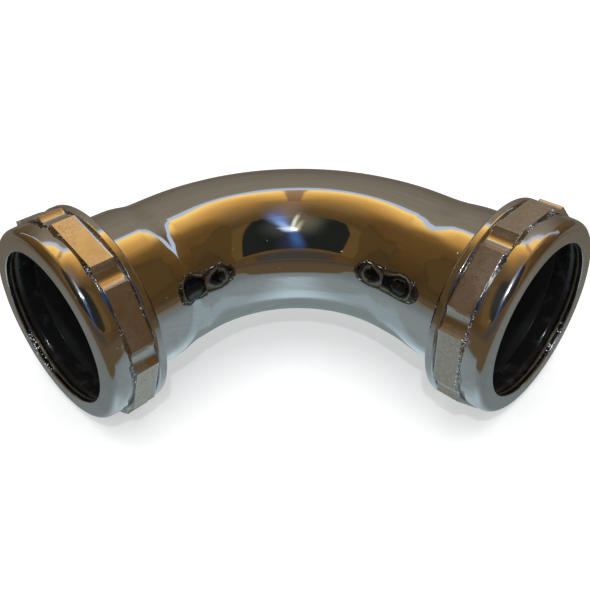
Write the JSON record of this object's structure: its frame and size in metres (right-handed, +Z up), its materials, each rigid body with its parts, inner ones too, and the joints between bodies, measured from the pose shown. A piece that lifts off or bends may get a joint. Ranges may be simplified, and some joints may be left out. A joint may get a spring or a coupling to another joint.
{
  "type": "p trap elbow",
  "caption": "Chromed 90 degree tubular elbow of a P-trap, with a swelled socket, a threaded ferrule and a slip-joint nut with its rubber washer at each end.",
  "frame": {"origin": "centre of the elbow's footprint, on the bench plane it lies on", "axes": "+Z up, the elbow lying flat; the outlet's mouth faces +X and the inlet's mouth faces -Y"},
  "size_m": [0.1057, 0.105, 0.052],
  "materials": {
    "chrome_tube": "polished chrome plate on thin brass tube",
    "chrome_nut": "polished chrome plate on a cast and turned nut",
    "plain_brass": "turned, unplated",
    "solder": "dull soft solder",
    "black_rubber": "moulded, smooth"
  },
  "bodies": {
    "elbow": {"bend_tube": "chrome_tube", "threaded_ferrule_inlet": "plain_brass", "solder_fillet_inlet": "solder", "threaded_ferrule_outlet": "plain_brass", "solder_fillet_outlet": "solder"},
    "seals_inlet": {"friction_ring_inlet": "plain_brass", "slip_washer_inlet": "black_rubber"},
    "nut_inlet": {"slip_nut_inlet": "chrome_nut"},
    "seals_outlet": {"friction_ring_outlet": "plain_brass", "slip_washer_outlet": "black_rubber"},
    "nut_outlet": {"slip_nut_outlet": "chrome_nut"}
  },
  "joints": [
    {"name": "nut_travel_inlet", "type": "slide", "parent": "elbow", "child": "seals_inlet", "axis": [0, -1, 0], "range_m": [0, 0.00663]},
    {"name": "nut_spin_inlet", "type": "hinge", "parent": "seals_inlet", "child": "nut_inlet", "pos_m": [-0.02685, -0.05255, 0.026], "axis": [0, -1, 0], "range_deg": [0, 1080]},
    {"name": "nut_travel_outlet", "type": "slide", "parent": "elbow", "child": "seals_outlet", "axis": [1, 0, 0], "range_m": [0, 0.00663]},
    {"name": "nut_spin_outlet", "type": "hinge", "parent": "seals_outlet", "child": "nut_outlet", "pos_m": [0.05285, 0.02715, 0.026], "axis": [1, 0, 0], "range_deg": [0, 1080]}
  ],
  "couplings": [
    {"joint": "nut_spin_inlet", "follows": "nut_travel_inlet", "rad_per_m": 2844.7},
    {"joint": "nut_spin_outlet", "follows": "nut_travel_outlet", "rad_per_m": 2844.7}
  ]
}
